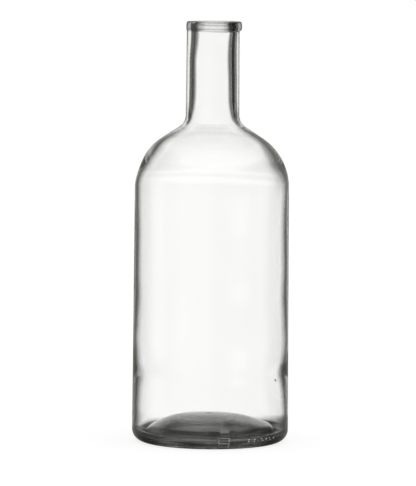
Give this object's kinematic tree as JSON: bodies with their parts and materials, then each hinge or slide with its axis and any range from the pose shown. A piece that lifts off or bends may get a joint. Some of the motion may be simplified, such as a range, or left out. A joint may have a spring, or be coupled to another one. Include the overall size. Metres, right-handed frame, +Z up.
{
  "type": "narrow-mouth glass bottle",
  "caption": "Clear glass bottle with a straight round body, sloping round shoulder, long narrow neck, flat ring lip and pushed-up base, open at the mouth.",
  "frame": {"origin": "middle of the flat ring that the bottle stands on", "axes": "+Z up along the bottle's axis, -Y the front, where the locating notch in the heel lies 10 degrees towards +X"},
  "size_m": [0.0742, 0.0742, 0.1995],
  "materials": {
    "clear_glass": "fire-polished clear glass with a faint olive cast where it is thick"
  },
  "bodies": {
    "root": {"glass_bottle": "clear_glass"}
  },
  "joints": []
}
